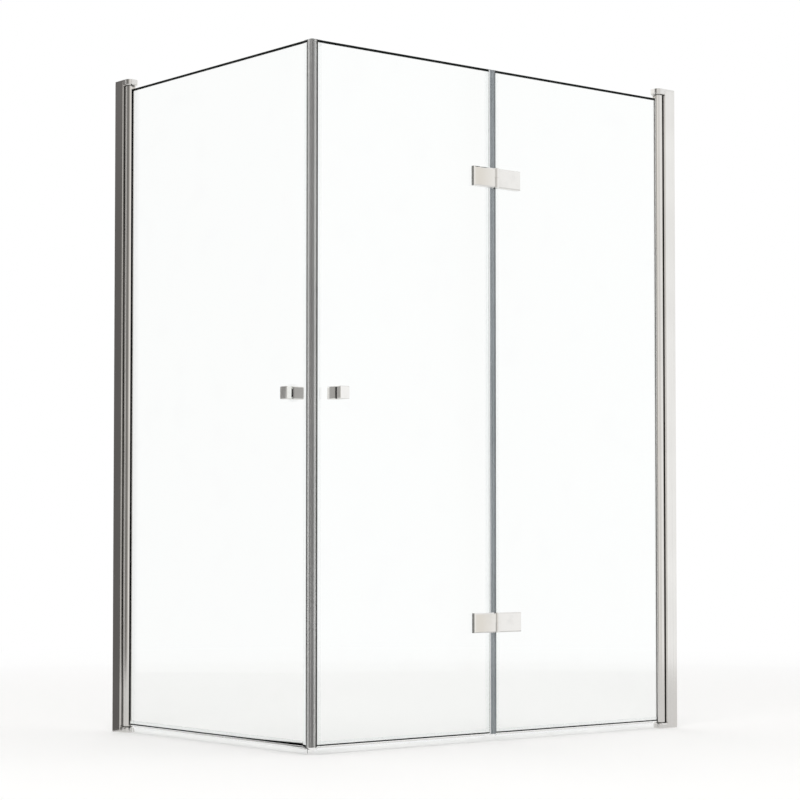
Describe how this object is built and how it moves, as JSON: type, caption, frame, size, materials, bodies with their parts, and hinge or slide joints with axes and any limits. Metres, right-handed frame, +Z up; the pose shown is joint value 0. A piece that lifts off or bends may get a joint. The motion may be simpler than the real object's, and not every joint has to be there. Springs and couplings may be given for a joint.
{
  "type": "bath screen",
  "caption": "L-shaped corner bath screen: a swinging glass side leaf and a hinged folding glass front that meet at a magnetic corner seal, on chrome wall profiles.",
  "frame": {"origin": "centre of the bounding box at the height of the bath rim, on which the bottom caps stand", "axes": "+Z up; +X along the front towards the wall that carries it; +Y along the side towards the wall that carries it; the closed screen's outer faces look along -Y and -X"},
  "size_m": [1.0054, 0.7032, 1.4],
  "materials": {
    "polished_aluminium": "bright polished and anodised extrusion",
    "chrome": "bright chrome plate",
    "glass": "clear toughened safety glass, polished edges",
    "clear_vinyl": "clear soft vinyl extrusion",
    "magnet_strip": "dark flexible magnet strip",
    "dark_rubber": "black rubber",
    "stainless_steel": "plain stainless steel",
    "white_nylon": "natural nylon"
  },
  "bodies": {
    "wall_fixings": {"front_wall_profile": "polished_aluminium", "front_adjusting_profile": "polished_aluminium", "front_profile_seal": "dark_rubber", "front_top_cap": "chrome", "front_bottom_cap": "chrome", "front_pivot_pins": "stainless_steel", "front_lock_screws": "stainless_steel", "side_wall_profile": "polished_aluminium", "side_adjusting_profile": "polished_aluminium", "side_profile_seal": "dark_rubber", "side_top_cap": "chrome", "side_bottom_cap": "chrome", "side_pivot_pins": "stainless_steel", "side_lock_screws": "stainless_steel"},
    "side_leaf": {"side_pivot_tube": "polished_aluminium", "side_pivot_bushes": "white_nylon", "side_glass_gasket": "dark_rubber", "side_glass": "glass", "side_bottom_seal": "clear_vinyl", "side_corner_seal": "clear_vinyl", "side_corner_magnet": "magnet_strip", "side_knob_outer": "chrome", "side_knob_inner": "chrome", "side_knob_stud": "stainless_steel", "side_knob_washers": "dark_rubber"},
    "wall_leaf": {"front_pivot_tube": "polished_aluminium", "front_pivot_bushes": "white_nylon", "front_glass_gasket": "dark_rubber", "wall_leaf_glass": "glass", "wall_leaf_bottom_seal": "clear_vinyl", "wall_leaf_fold_seal": "clear_vinyl", "upper_hinge_wall_plate": "chrome", "lower_hinge_wall_plate": "chrome", "upper_hinge_wall_backing": "chrome", "lower_hinge_wall_backing": "chrome", "wall_leaf_hinge_pads": "dark_rubber", "wall_leaf_hinge_screws": "stainless_steel", "hinge_pins": "stainless_steel"},
    "door_leaf": {"door_glass": "glass", "door_bottom_seal": "clear_vinyl", "door_fold_seal": "clear_vinyl", "door_corner_seal": "clear_vinyl", "door_corner_magnet": "magnet_strip", "upper_hinge_door_plate": "chrome", "lower_hinge_door_plate": "chrome", "upper_hinge_door_backing": "chrome", "lower_hinge_door_backing": "chrome", "door_hinge_pads": "dark_rubber", "door_hinge_screws": "stainless_steel", "hinge_bushes": "white_nylon", "door_knob_outer": "chrome", "door_knob_inner": "chrome", "door_knob_stud": "stainless_steel", "door_knob_washers": "dark_rubber"}
  },
  "joints": [
    {"name": "side_swing", "type": "hinge", "parent": "wall_fixings", "child": "side_leaf", "pos_m": [-0.48725, 0.31362, 0.7], "axis": [0, 0, -1], "range_deg": [0, 90]},
    {"name": "front_swing", "type": "hinge", "parent": "wall_fixings", "child": "wall_leaf", "pos_m": [0.46475, -0.33437, 0.7], "axis": [0, 0, 1], "range_deg": [0, 90]},
    {"name": "door_fold", "type": "hinge", "parent": "wall_leaf", "child": "door_leaf", "pos_m": [-0.0205, -0.34737, 0.7], "axis": [0, 0, 1], "range_deg": [0, 180]}
  ]
}
